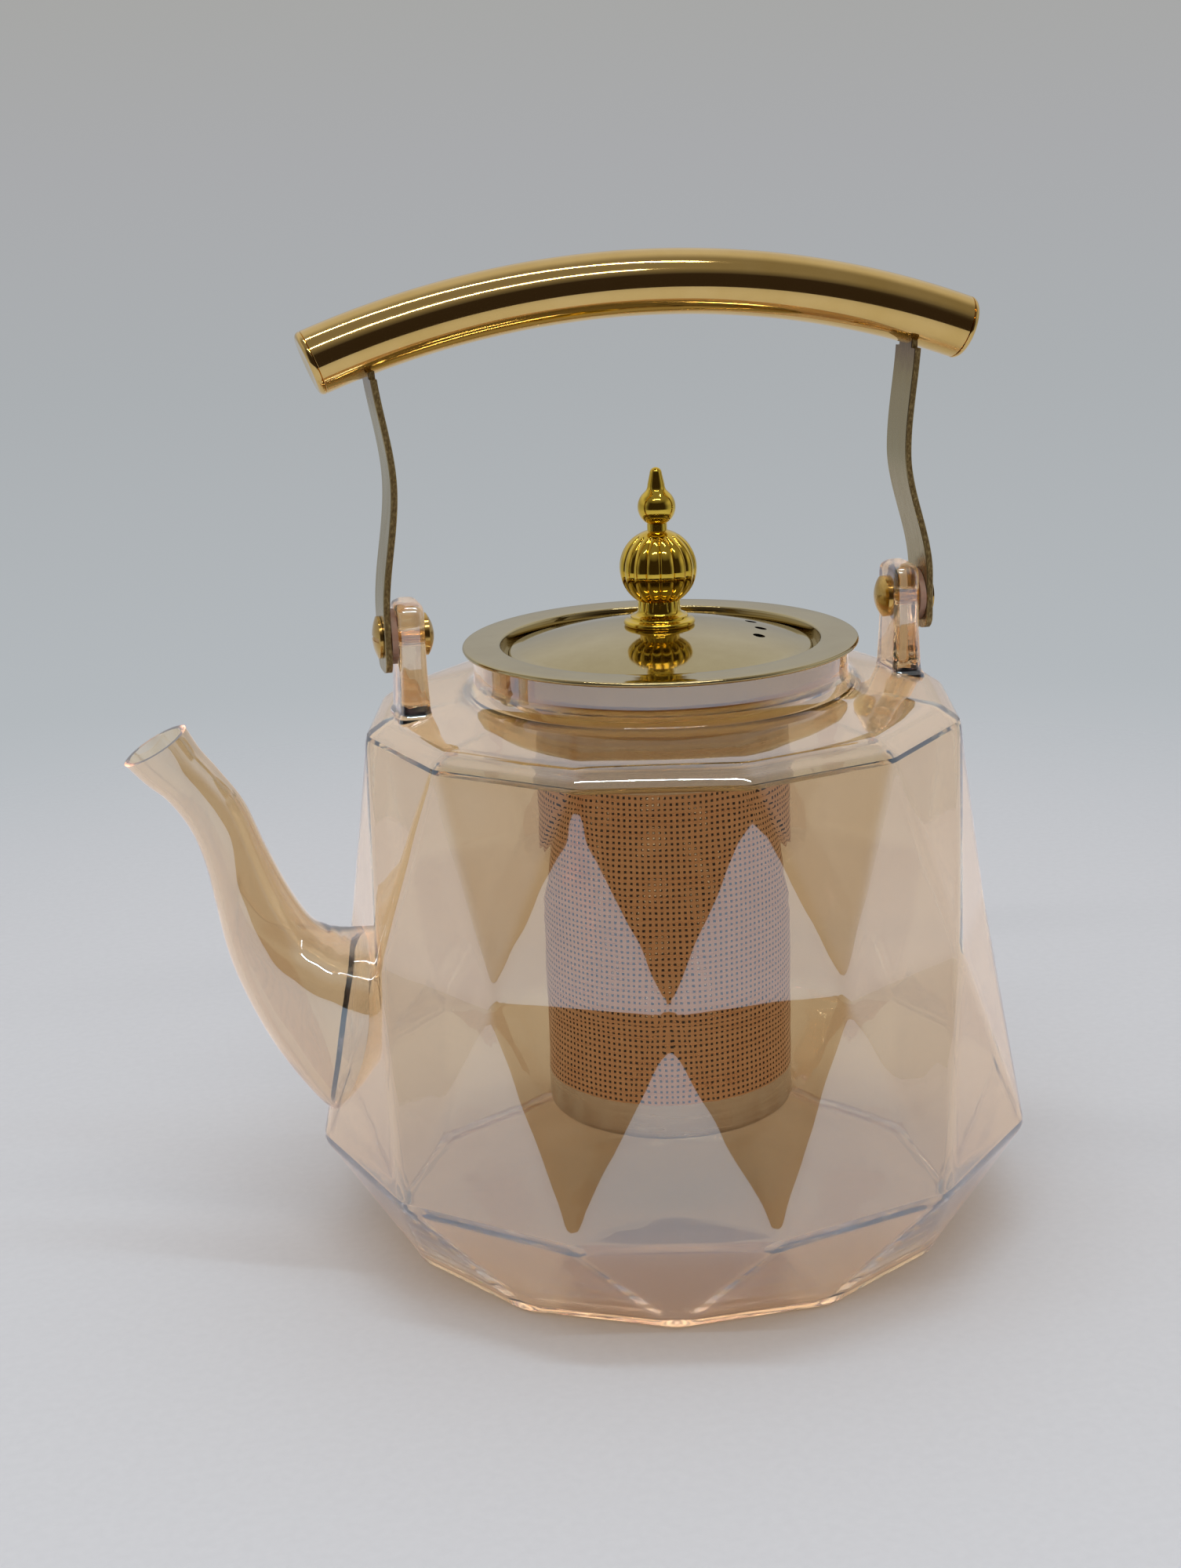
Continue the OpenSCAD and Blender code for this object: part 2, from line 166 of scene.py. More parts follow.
def through_film(tree, out, glass, tint):
    """Shadows and light off the table pass straight through glass, as through a tinted
    film. The rest of the light meets the glass's own shader."""
    film = add(tree, "ShaderNodeBsdfTransparent", {"Color": colour(tint)})
    rays = add(tree, "ShaderNodeLightPath")
    straight = add(tree, "ShaderNodeMath", {
        0: rays.outputs["Is Shadow Ray"], 1: rays.outputs["Is Diffuse Ray"]}, operation="MAXIMUM")
    mixed = add(tree, "ShaderNodeMixShader", {"Fac": straight.outputs[0], 1: glass, 2: film.outputs["BSDF"]})
    tree.links.new(mixed.outputs["Shader"], out.inputs["Surface"])


def lustre_glass():
    """Borosilicate glass, mould blown, with a sprayed amber lustre on the outside: it
    throws back a cool pale sheen and lets warm honey light through, and the
    blowing leaves the facets gently wavy."""
    made, tree, out = material("lustre_coated_borosilicate")
    where = add(tree, "ShaderNodeTexCoord").outputs["Object"]
    # Swells about 22 mm across, ripples of 6 mm and a drift of colour over 45 mm
    swell = add(tree, "ShaderNodeTexNoise", {"Vector": where, "Scale": 46.0, "Detail": 1.0, "Roughness": 0.4})
    ripple = add(tree, "ShaderNodeTexNoise", {
        "Vector": where, "Scale": 170.0, "Detail": 2.0, "Roughness": 0.5})
    low = add(tree, "ShaderNodeBump", {"Strength": 0.2, "Distance": 0.0008, "Height": swell.outputs["Fac"]})
    fine = add(tree, "ShaderNodeBump", {"Strength": 0.05, "Distance": 0.0003, "Height": ripple.outputs["Fac"],
                                        "Normal": low.outputs["Normal"]})
    drift = add(tree, "ShaderNodeTexNoise", {"Vector": where, "Scale": 22.0, "Detail": 1.0})
    honey = add(tree, "ShaderNodeValToRGB", {
        "Fac": drift.outputs["Fac"]}, [(0.3, "#D4AF82"), (0.7, "#CBA372")])
    glass = add(tree, "ShaderNodeBsdfPrincipled", {
        "Base Color": honey.outputs["Color"], "Roughness": 0.0, "IOR": GLASS_IOR, "Transmission Weight": 1.0,
        "Normal": fine.outputs["Normal"]})
    # The coat's mirror swells a little more than the glass, and turns from a cool
    # to a rosy tone at grazing angles
    coat_swell = add(tree, "ShaderNodeBump", {
        "Strength": 0.42, "Distance": 0.0009, "Height": swell.outputs["Fac"]})
    facing = add(tree, "ShaderNodeLayerWeight", {"Blend": 0.4})
    tone = add(tree, "ShaderNodeMix", {
        "Factor": facing.outputs["Facing"], 6: colour("#6C808E"), 7: colour("#9C9090")}, data_type="RGBA")
    sheen = add(tree, "ShaderNodeBsdfGlossy", {
        "Color": tone.outputs[2], "Roughness": 0.01, "Normal": coat_swell.outputs["Normal"]})
    both = add(tree, "ShaderNodeAddShader", {0: glass.outputs["BSDF"], 1: sheen.outputs["BSDF"]})
    through_film(tree, out, both.outputs["Shader"], "#D3BFA6")
    return made


def bare_glass():
    """The uncoated inner face of the same glass: fire polished, colourless, with faint
    swells about 17 mm across from the blowing."""
    made, tree, out = material("bare_borosilicate_inside")
    where = add(tree, "ShaderNodeTexCoord").outputs["Object"]
    swell = add(tree, "ShaderNodeTexNoise", {"Vector": where, "Scale": 60.0, "Detail": 1.0})
    bump = add(tree, "ShaderNodeBump", {"Strength": 0.06, "Distance": 0.0008, "Height": swell.outputs["Fac"]})
    glass = add(tree, "ShaderNodeBsdfPrincipled", {
        "Base Color": colour("#FFFFFF"), "Roughness": 0.0, "IOR": GLASS_IOR, "Transmission Weight": 1.0,
        "Normal": bump.outputs["Normal"]})
    through_film(tree, out, glass.outputs["BSDF"], "#FFFFFF")
    return made


def plated_metal(name, base, worn, rough, wear_scale, bump_strength):
    """Polished metal with a thin plated colour: mirror-like, with faint smears in the
    gloss and slight waves about 8 mm long from polishing."""
    made, tree, out = material(name)
    where = add(tree, "ShaderNodeTexCoord").outputs["Object"]
    smear = add(tree, "ShaderNodeTexNoise", {
        "Vector": where, "Scale": wear_scale, "Detail": 4.0, "Roughness": 0.6})
    tint = add(tree, "ShaderNodeValToRGB", {"Fac": smear.outputs["Fac"]}, [(0.35, base), (0.75, worn)])
    gloss = add(tree, "ShaderNodeMapRange", {
        "Value": smear.outputs["Fac"], "From Min": 0.3, "From Max": 0.7,
        "To Min": rough * 0.8, "To Max": rough * 1.5})
    wave = add(tree, "ShaderNodeTexNoise", {"Vector": where, "Scale": 130.0, "Detail": 1.0})
    bump = add(tree, "ShaderNodeBump", {"Strength": bump_strength, "Distance": 0.0003,
                                        "Height": wave.outputs["Fac"]})
    metal = add(tree, "ShaderNodeBsdfPrincipled", {
        "Base Color": tint.outputs["Color"], "Metallic": 1.0, "Roughness": gloss.outputs["Result"],
        "Normal": bump.outputs["Normal"]})
    tree.links.new(metal.outputs["BSDF"], out.inputs["Surface"])
    return made


def satin_gold():
    """Titanium-nitride coated stainless sheet, spun and satin brushed: a soft olive gold
    with fine turning lines round the middle."""
    made, tree, out = material("satin_gold_spun_steel")
    where = add(tree, "ShaderNodeTexCoord").outputs["Object"]
    axes = add(tree, "ShaderNodeSeparateXYZ", {"Vector": where})
    square_x = add(tree, "ShaderNodeMath", {0: axes.outputs["X"], 1: axes.outputs["X"]}, operation="MULTIPLY")
    square_y = add(tree, "ShaderNodeMath", {0: axes.outputs["Y"], 1: axes.outputs["Y"]}, operation="MULTIPLY")
    total = add(tree, "ShaderNodeMath", {0: square_x.outputs[0], 1: square_y.outputs[0]}, operation="ADD")
    radius = add(tree, "ShaderNodeMath", {0: total.outputs[0]}, operation="SQRT")
    # Turning lines, really about 0.1 mm apart, drawn 0.28 mm apart so that they show
    lines = add(tree, "ShaderNodeTexNoise", {"W": radius.outputs[0], "Scale": 3600.0, "Detail": 2.0},
                noise_dimensions="1D")
    smear = add(tree, "ShaderNodeTexNoise", {
        "Vector": where, "Scale": 90.0, "Detail": 4.0, "Roughness": 0.65})
    tint = add(tree, "ShaderNodeValToRGB", {
        "Fac": smear.outputs["Fac"]}, [(0.3, "#B7A67A"), (0.75, "#C2B389")])
    gloss = add(tree, "ShaderNodeMapRange", {
        "Value": lines.outputs["Fac"], "From Min": 0.3, "From Max": 0.7, "To Min": 0.05, "To Max": 0.09})
    bump = add(tree, "ShaderNodeBump", {
        "Strength": 0.05, "Distance": 0.00005, "Height": lines.outputs["Fac"]})
    metal = add(tree, "ShaderNodeBsdfPrincipled", {
        "Base Color": tint.outputs["Color"], "Metallic": 1.0, "Roughness": gloss.outputs["Result"],
        "Normal": bump.outputs["Normal"]})
    tree.links.new(metal.outputs["BSDF"], out.inputs["Surface"])
    return made


def strap_steel():
    """Stainless strip, rolled and lightly polished, with a straw to brown heat tint near
    its joint with the tube."""
    made, tree, out = material("rolled_stainless_strip")
    where = add(tree, "ShaderNodeTexCoord").outputs["Object"]
    # Rolling grain 17 mm long and 0.6 mm wide, coarser than the real one, to show
    stretched = add(tree, "ShaderNodeMapping", {"Vector": where, "Scale": (900.0, 1600.0, 60.0)})
    grain = add(tree, "ShaderNodeTexNoise", {
        "Vector": stretched.outputs["Vector"], "Scale": 1.0, "Detail": 3.0})
    height = add(tree, "ShaderNodeSeparateXYZ", {"Vector": where}).outputs["Z"]
    cloud = add(tree, "ShaderNodeTexNoise", {"Vector": where, "Scale": 260.0, "Detail": 3.0})
    wobble = add(tree, "ShaderNodeMath", {0: cloud.outputs["Fac"], 1: 0.006}, operation="MULTIPLY")
    lifted = add(tree, "ShaderNodeMath", {0: height, 1: wobble.outputs[0]}, operation="ADD")
    heat = add(tree, "ShaderNodeMapRange", {
        "Value": lifted.outputs[0], "From Min": 0.176, "From Max": 0.1885})
    tint = add(tree, "ShaderNodeValToRGB", {"Fac": heat.outputs["Result"]},
               [(0.0, "#AD9D78"), (0.35, "#A6946C"), (0.7, "#8C7458"), (1.0, "#5C4A3C")])
    gloss = add(tree, "ShaderNodeMapRange", {
        "Value": grain.outputs["Fac"], "From Min": 0.3, "From Max": 0.7, "To Min": 0.2, "To Max": 0.34})
    bump = add(tree, "ShaderNodeBump", {"Strength": 0.1, "Distance": 0.00004, "Height": grain.outputs["Fac"]})
    metal = add(tree, "ShaderNodeBsdfPrincipled", {
        "Base Color": tint.outputs["Color"], "Metallic": 1.0, "Roughness": gloss.outputs["Result"],
        "Normal": bump.outputs["Normal"]})
    tree.links.new(metal.outputs["BSDF"], out.inputs["Surface"])
    return made


def punched_edge():
    """The blanked edge of the strip: a torn, gritty brown face from the punch, duller
    than the rolled sides."""
    made, tree, out = material("punched_stainless_edge")
    where = add(tree, "ShaderNodeTexCoord").outputs["Object"]
    # Grit about 0.45 mm across and 0.8 mm high
    stretched = add(tree, "ShaderNodeMapping", {"Vector": where, "Scale": (1.0, 1.0, 0.55)})
    grit = add(tree, "ShaderNodeTexNoise", {
        "Vector": stretched.outputs["Vector"], "Scale": 2200.0, "Detail": 3.0})
    tint = add(tree, "ShaderNodeValToRGB", {"Fac": grit.outputs["Fac"]},
               [(0.3, "#6A5434"), (0.55, "#8E774C"), (0.75, "#B79F6C")])
    bump = add(tree, "ShaderNodeBump", {"Strength": 0.7, "Distance": 0.0002, "Height": grit.outputs["Fac"]})
    metal = add(tree, "ShaderNodeBsdfPrincipled", {
        "Base Color": tint.outputs["Color"], "Metallic": 0.8, "Roughness": 0.45,
        "Normal": bump.outputs["Normal"]})
    tree.links.new(metal.outputs["BSDF"], out.inputs["Surface"])
    return made


def basket_steel(name, tone, rough, pale):
    """304 stainless sheet in one of its tones, bright or heat tinted, or dark as painted shade for the
    basket's inner face: half gloss, with rolling lines 0.7 mm high round the tube."""
    made, tree, out = material(name)
    where = add(tree, "ShaderNodeTexCoord").outputs["Object"]
    stretched = add(tree, "ShaderNodeMapping", {"Vector": where, "Scale": (60.0, 60.0, 1400.0)})
    grain = add(tree, "ShaderNodeTexNoise", {
        "Vector": stretched.outputs["Vector"], "Scale": 1.0, "Detail": 3.0})
    tint = add(tree, "ShaderNodeValToRGB", {"Fac": grain.outputs["Fac"]}, [(0.3, tone), (0.7, pale)])
    gloss = add(tree, "ShaderNodeMapRange", {
        "Value": grain.outputs["Fac"], "From Min": 0.3, "From Max": 0.7,
        "To Min": rough * 0.8, "To Max": rough * 1.3})
    metal = add(tree, "ShaderNodeBsdfPrincipled", {
        "Base Color": tint.outputs["Color"], "Metallic": 1.0, "Roughness": gloss.outputs["Result"]})
    tree.links.new(metal.outputs["BSDF"], out.inputs["Surface"])
    return made


def silicone():
    """Moulded translucent silicone rubber: a milky rose-brown ring with a soft sheen."""
    made, tree, out = material("moulded_silicone")
    where = add(tree, "ShaderNodeTexCoord").outputs["Object"]
    cloud = add(tree, "ShaderNodeTexNoise", {"Vector": where, "Scale": 420.0, "Detail": 3.0})
    tint = add(tree, "ShaderNodeValToRGB", {
        "Fac": cloud.outputs["Fac"]}, [(0.3, "#A97F68"), (0.7, "#BE9A86")])
    bump = add(tree, "ShaderNodeBump", {"Strength": 0.2, "Distance": 0.0001, "Height": cloud.outputs["Fac"]})
    rubber = add(tree, "ShaderNodeBsdfPrincipled", {
        "Base Color": tint.outputs["Color"], "Roughness": 0.42, "IOR": 1.41, "Transmission Weight": 0.25,
        "Subsurface Weight": 0.3, "Subsurface Scale": 0.001, "Normal": bump.outputs["Normal"]})
    tree.links.new(rubber.outputs["BSDF"], out.inputs["Surface"])
    return made


LUSTRE = lustre_glass()
BARE = bare_glass()
TUBE_GOLD = plated_metal("plated_gold_tube", "#E4C27E", "#D9B56C", 0.06, 70.0, 0.05)
FINIAL_GOLD = plated_metal("plated_gold_casting", "#E8C650", "#DCB742", 0.05, 240.0, 0.08)
SCREW_GOLD = plated_metal("plated_gold_screw", "#D9B56C", "#C39A50", 0.14, 400.0, 0.1)
SATIN = satin_gold()
STRIP = strap_steel()
PUNCHED = punched_edge()
SHEET = basket_steel("rolled_stainless_sheet", "#C6C2BC", 0.22, "#CECAC5")
MESH_SHEET = basket_steel("etched_stainless_mesh", "#D0A988", 0.3, "#D8B798")
# A dark copy of the basket steel: painted shade for the inside of the basket
SHADED_INSIDE_SHEET = basket_steel("painted_shade_stainless_inside", "#4A4038", 0.4, "#5A4E44")
RUBBER = silicone()


# --- mesh helpers ------------------------------------------------------------------
def piece_from(name, points, faces, finishes, face_finish=None, crease=35.0):
    """A linked object from points in millimetres and faces that point outwards."""
    mesh = bpy.data.meshes.new(name)
    mesh.from_pydata([tuple(c * MM for c in p) for p in points], [], faces)
    for finish in finishes:
        mesh.materials.append(finish)
    if face_finish is not None:
        mesh.polygons.foreach_set("material_index", face_finish)
    made = bpy.data.objects.new(name, mesh)
    bpy.context.scene.collection.objects.link(made)
    shade(made, crease)
    return made


def shade(piece, crease=35.0):
    """Smooth shading with creases kept where faces meet at more than an angle."""
    mesh = piece.data
    mesh.polygons.foreach_set("use_smooth", [True] * len(mesh.polygons))
    mesh.set_sharp_from_angle(angle=math.radians(crease))
    mesh.update()


def settle(piece):
    """Replaces a piece's mesh by what its modifiers give, and removes them."""
    graph = bpy.context.evaluated_depsgraph_get()
    solid = bpy.data.meshes.new_from_object(piece.evaluated_get(graph))
    piece.modifiers.clear()
    piece.data = solid
    return piece


def carve(piece, tool, operation):
    """Joins a tool to a piece or cuts it away, and removes the tool."""
    cut = piece.modifiers.new("cut", "BOOLEAN")
    cut.operation = operation
    cut.solver = "MANIFOLD"
    cut.object = tool
    settle(piece)
    bpy.data.objects.remove(tool)


def rows_to_faces(rows, columns, flip, slanted):
    """Quads of a tube of rows, or triangle pairs on the slanted rows."""
    faces = []
    for j in range(rows - 1):
        for c in range(columns):
            d = (c + 1) % columns
            a, b = j * columns + c, j * columns + d
            e, f = b + columns, a + columns
            made = [(a, b, f), (b, e, f)] if j in slanted else [(a, b, e, f)]
            faces.extend([tuple(reversed(q)) for q in made] if flip else made)
    return faces


def tube_of_rows(name, rows, finishes, finish, flip=False, slanted=(), crease=35.0):
    """A closed solid from a numpy array of rows of points, with a fan at each end."""
    count, columns = rows.shape[0], rows.shape[1]
    points = [tuple(p) for row in rows for p in row]
    faces = rows_to_faces(count, columns, flip, slanted)
    for row, backwards in ((0, not flip), (count - 1, flip)):
        points.append(tuple(rows[row].mean(axis=0)))
        middle = len(points) - 1
        for c in range(columns):
            fan = (row * columns + c, row * columns + (c + 1) % columns, middle)
            faces.append(tuple(reversed(fan)) if backwards else fan)
    return piece_from(name, points, faces, finishes, [finish] * len(faces), crease)


def turned(name, profile, finish, closed=True, segments=128, flutes=None, crease=35.0):
    """A lathe shape from a profile of (radius, height) in millimetres, which starts and
    ends on the axis unless it is closed. flutes gives the radius at an angle, for ribs."""
    points = []
    rings = []
    for r, z in profile:
        if r < 1e-5:
            rings.append([len(points)])
            points.append((0, 0, z))
            continue
        ring = []
        for s in range(segments):
            angle = 2 * math.pi * s / segments
            wide = flutes(r, z, angle) if flutes else r
            ring.append(len(points))
            points.append((wide * math.cos(angle), wide * math.sin(angle), z))
        rings.append(ring)
    faces = []
    pairs = list(zip(rings, rings[1:])) + ([(rings[-1], rings[0])] if closed else [])
    for low, high in pairs:
        if len(low) == 1 and len(high) == 1:
            continue
        for s in range(segments):
            t = (s + 1) % segments
            if len(low) == 1:
                faces.append((low[0], high[t], high[s]))
            elif len(high) == 1:
                faces.append((low[s], low[t], high[0]))
            else:
                faces.append((low[s], low[t], high[t], high[s]))
    return piece_from(name, points, faces, [finish], None, crease)


def arc(cx, cz, r, start, end, steps):
    """Points on an arc in the radius and height plane, angles in degrees."""
    angles = [math.radians(start + (end - start) * i / steps) for i in range(steps + 1)]
    return [(cx + r * math.cos(a), cz + r * math.sin(a)) for a in angles]


def face_outwards(piece):
    """Turns the faces of a closed piece outwards."""
    work = bmesh.new()
    work.from_mesh(piece.data)
    bmesh.ops.remove_doubles(work, verts=work.verts, dist=1e-7)
    bmesh.ops.recalc_face_normals(work, faces=work.faces)
    work.to_mesh(piece.data)
    work.free()
    return piece


# --- glass ---------------------------------------------------------------------------
def ring_corner(radius, height, turn, index):
    """One corner of a ring of the pot's facets, turned by an angle in degrees."""
    angle = math.radians(turn + 360 / SIDES * index)
    return np.array([radius * math.cos(angle), radius * math.sin(angle), height])


def facet_band(low, high, turn, cells):
    """Rows of a band of alternating triangles between two rings of corners. The upper
    ring is turned half a side further, and each row keeps the same number of
    columns."""
    rows = []
    for j in range(cells):
        t = j / cells
        row = []
        for i in range(SIDES):
            a0, a1 = ring_corner(*low, turn, i), ring_corner(*low, turn, i + 1)
            b0 = ring_corner(*high, turn + 180 / SIDES, i)
            b1 = ring_corner(*high, turn + 180 / SIDES, i + 1)
            p0, p1, p2 = a0 + (b0 - a0) * t, a1 + (b0 - a1) * t, a1 + (b1 - a1) * t
            for c in range(cells):
                if c < cells - j:
                    row.append(p0 + (p1 - p0) * c / (cells - j))
                else:
                    row.append(p1 + (p2 - p1) * (c - (cells - j)) / j)
        rows.append(row)
    return rows


def round_off(grid, rounds, slanted):
    """Softens the edges between facets, as blown glass does, with the first and last
    rows held. The corners keep their reach."""
    weight = np.zeros((grid.shape[0], 1, 1))
    weight[list(slanted)] = 1.0

    def soften(points):
        for _ in range(rounds):
            across = np.roll(points, 1, axis=1) + np.roll(points, -1, axis=1)
            up, down = np.roll(points, -1, axis=0), np.roll(points, 1, axis=0)
            slant = np.roll(up, 1, axis=1) + np.roll(down, -1, axis=1)
            mean = (across + up + down + weight * slant) / (4 + 2 * weight)
            moved = points + 0.5 * (mean - points)
            moved[0], moved[-1] = points[0], points[-1]
            points = moved
        return points

    return soften(2 * grid - soften(grid))


def pot_surface(rings, crown, collar, neck, top, cells, rounds, dish):
    """The rows of the whole pot, from the middle of its base to the neck's edge, and
    which of them are slanted. dish lifts the middle of the base."""
    turn = 180 / SIDES
    bands = []
    for k in range(3):
        bands.append(facet_band(rings[k], rings[k + 1], turn * (k + 1), cells))
    base = np.array(bands[0][0])
    grid = []
    for s in np.linspace(0.08, 0.93, 9):
        row = base * s
        row[:, 2] = rings[0][1] + dish * (1 - s * s)
        grid.append(row)
    start = len(grid)
    for band in bands:
        grid.extend(np.array(row) for row in band)
    end = len(grid)
    shoulder = []
    for i in range(SIDES):
        near, far = ring_corner(*rings[3], turn * 4, i), ring_corner(*rings[3], turn * 4, i + 1)
        shoulder.extend(near * (1 - c / cells) + far * c / cells for c in range(cells))
    shoulder = np.array(shoulder)
    angles = np.arctan2(shoulder[:, 1], shoulder[:, 0])
    reach = np.hypot(shoulder[:, 0], shoulder[:, 1]) / rings[3][0]
    # Radius, height and roundness of each row from the shoulder's corners to the neck
    wide, high = rings[3]
    steps = [(wide, high, 0.0)]
    for s in np.linspace(0.2, 1.0, 5):
        steps.append((wide + (crown[0] - wide) * s, high + (crown[1] - high) * s, 0.1 * s))
    for s in np.linspace(0.1, 1.0, 10):
        radius = crown[0] + (collar[0] - crown[0]) * s
        height = crown[1] + (collar[1] - crown[1]) * s
        steps.append((radius, height, min(1, 0.1 + 1.1 * s)))
    fillet_out, fillet_up, neck_foot = 1.2, 0.6, 1.8
    steps.append((neck + fillet_out, collar[1] + fillet_up, 1.0))
    for s in np.linspace(0.0, 1.0, 7):
        steps.append((neck, collar[1] + neck_foot + (top - collar[1] - neck_foot) * s, 1.0))
    for radius, height, roundness in steps:
        spread = radius * (reach * (1 - roundness) + roundness)
        level = np.full(len(angles), height)
        grid.append(np.stack([spread * np.cos(angles), spread * np.sin(angles), level], axis=1))
    slanted = range(start, end)
    return round_off(np.array(grid), rounds, slanted), slanted


def catmull(a, b, c, d, t):
    """A point between b and c on a smooth curve through all four."""
    return b + 0.5 * t * ((c - a) + t * (2 * a - 5 * b + 4 * c - d + t * (3 * (b - c) + d - a)))


def spout_rows(wall, beyond, steps=9, around=72):
    """Oval rows along the spout from lip to root, drawn in by a wall. beyond adds a
    station outside the lip."""
    stations = [np.array(s, float) for s in SPOUT_STATIONS]
    if beyond:
        stations.insert(0, 2 * stations[0] - stations[1])
    last = len(stations) - 1
    fine = []
    for k in range(last):
        near = [stations[max(0, min(last, k + o))] for o in (-1, 0, 1, 2)]
        fine.extend(catmull(*near, s / steps) for s in range(steps))
    fine.append(stations[last])
    rows = []
    for x0, z0, x1, z1, half, egg in fine:
        middle = np.array([(x0 + x1) / 2, (z0 + z1) / 2])
        up = np.array([(x1 - x0) / 2, (z1 - z0) / 2])
        length = np.hypot(*up)
        row = []
        for i in range(around):
            a = 2 * math.pi * i / around
            reach = (length - wall) / length * math.cos(a)
            side = (half - wall) * math.sin(a) * (1 + egg * math.cos(a))
            row.append((middle[0] + up[0] * reach, side, middle[1] + up[1] * reach))
        rows.append(row)
    return np.array(rows)


def glass_lug(side):
    """One solid lug with a softly melted outline. It widens a little towards the
    shoulder and has a thin fillet where it is fused on."""
    corner, edge = 3.2, 1.8
    taper_top, taper_run = 125, 10
    fillet_top, fillet_foot = 116.3, 115.2
    # Close levels round the fillet, wider ones on the straight part
    levels = [LUG_FOOT + 0.3 * i for i in range(44)] + list(np.linspace(121.5, LUG_TOP - corner, 8))
    levels += [LUG_TOP - corner * (1 - math.sin(a)) for a in np.linspace(0.12, math.pi / 2, 14)]
    rows = []
    for z in levels:
        over = max(0.0, z - LUG_TOP + corner)
        wide = LUG_W / 2 - corner + math.sqrt(max(0.0, corner * corner - over * over))
        over = max(0.0, z - LUG_TOP + edge)
        thick = LUG_T / 2 - edge + math.sqrt(max(0.0, edge * edge - over * over))
        taper = max(0.0, (taper_top - z) / taper_run)
        fillet = max(0.0, fillet_top - max(z, fillet_foot)) ** 1.5
        wide += 0.5 * taper + 0.5 * fillet
        thick += 0.4 * taper + 0.4 * fillet
        round_r = min(edge, thick * 0.9)
        row = []
        for k, (sx, sy) in enumerate(((1, 1), (-1, 1), (-1, -1), (1, -1))):
            for i in range(8):
                a = math.pi / 2 * (k + i / 7)
                row.append((side * LUG_X + sx * (thick - round_r) + round_r * math.cos(a),
                            sy * (wide - round_r) + round_r * math.sin(a), z))
        rows.append(row)
    return face_outwards(tube_of_rows("lug", np.array(rows), [LUSTRE, BARE], 0, crease=60))


def rod_along_x(name, x0, x1, radius, finishes, around=48):
    """A plain rod along the pivot axis, used to bore the lugs and the straps. The bore
    gets the second finish."""
    turns = [2 * math.pi * i / around for i in range(around)]
    rows = [[(x, radius * math.sin(a), PIVOT_Z + radius * math.cos(a)) for a in turns] for x in (x0, x1)]
    return face_outwards(tube_of_rows(name, np.array(rows), finishes, 1))


def fused_glass():
    """Body, spout and lugs as one fused piece of glass with its passage and bores. The
    outside's edges are softened a little more than the inside's."""
    skins = [LUSTRE, BARE]
    cells, dish = 24, 0.9
    outer, slanted = pot_surface(FACET_RINGS, CROWN, COLLAR, NECK_R, NECK_TOP, cells, 3, dish)
    pot = tube_of_rows("glass_pot", outer, skins, 0, slanted=slanted, crease=60)
    inner_rings = [(r - GLASS_WALL, z) for r, z in FACET_RINGS]
    inner_rings[0] = (inner_rings[0][0], GLASS_FLOOR)
    inner_rings[1] = (inner_rings[1][0], FACET_RINGS[1][1] + 0.5)
    inner_rings[3] = (inner_rings[3][0], FACET_RINGS[3][1] - 1.5)
    inner_crown = (CROWN[0] - 1.2, CROWN[1] - 2)
    above = NECK_TOP + 2
    inner, slanted = pot_surface(inner_rings, inner_crown, INNER_COLLAR, NECK_BORE_R, above, cells, 2, dish)
    hollow = tube_of_rows("hollow", inner, skins, 1, slanted=slanted, crease=60)
    spout = face_outwards(tube_of_rows("spout", spout_rows(0, False), skins, 0, crease=60))
    passage = face_outwards(tube_of_rows("passage", spout_rows(SPOUT_WALL, True), skins, 1, crease=60))
    carve(pot, spout, "UNION")
    for side in (-1, 1):
        carve(pot, glass_lug(side), "UNION")
    carve(pot, hollow, "DIFFERENCE")
    carve(pot, passage, "DIFFERENCE")
    for side in (-1, 1):
        near, far = side * (LUG_X - LUG_T), side * (LUG_X + LUG_T)
        carve(pot, rod_along_x("bore", near, far, SHANK_R + 0.1, skins), "DIFFERENCE")
    shade(pot, 24)
    return pot


# --- handle ----------------------------------------------------------------------------
def arch_frame(angle):
    """Middle of the arch's tube, and its outward and forward directions, at an angle
    from the top."""
    outward = np.array([math.sin(angle), 0, math.cos(angle)])
    forward = np.array([math.cos(angle), 0, -math.sin(angle)])
    return outward * ARCH_R + np.array([ARCH_X, 0, ARCH_Z]), outward, forward


def arch_rows(profile, around=72):
    """Rows of points from (angle, advance, radius) triples along the arch."""
    rows = []
    for angle, advance, radius in profile:
        middle, outward, forward = arch_frame(angle)
        row = []
        for i in range(around):
            a = 2 * math.pi * i / around
            row.append(middle + forward * advance + outward * radius * math.cos(a)
                       + np.array([0, radius * math.sin(a), 0]))
        rows.append(row)
    return np.array(rows)


def handle_tube():
    """The bent tube between its caps, slightly rolled in at each end."""
    edge = 0.25
    profile = [(-ARCH_HALF, 0.02, TUBE_R - edge), (-ARCH_HALF, 0.02 + edge, TUBE_R)]
    profile += [(-ARCH_HALF + 2 * ARCH_HALF * i / 120, 0, TUBE_R) for i in range(1, 120)]
    profile += [(ARCH_HALF, -0.02 - edge, TUBE_R), (ARCH_HALF, -0.02, TUBE_R - edge)]
    return face_outwards(tube_of_rows("grip_tube", arch_rows(profile), [TUBE_GOLD], 0))


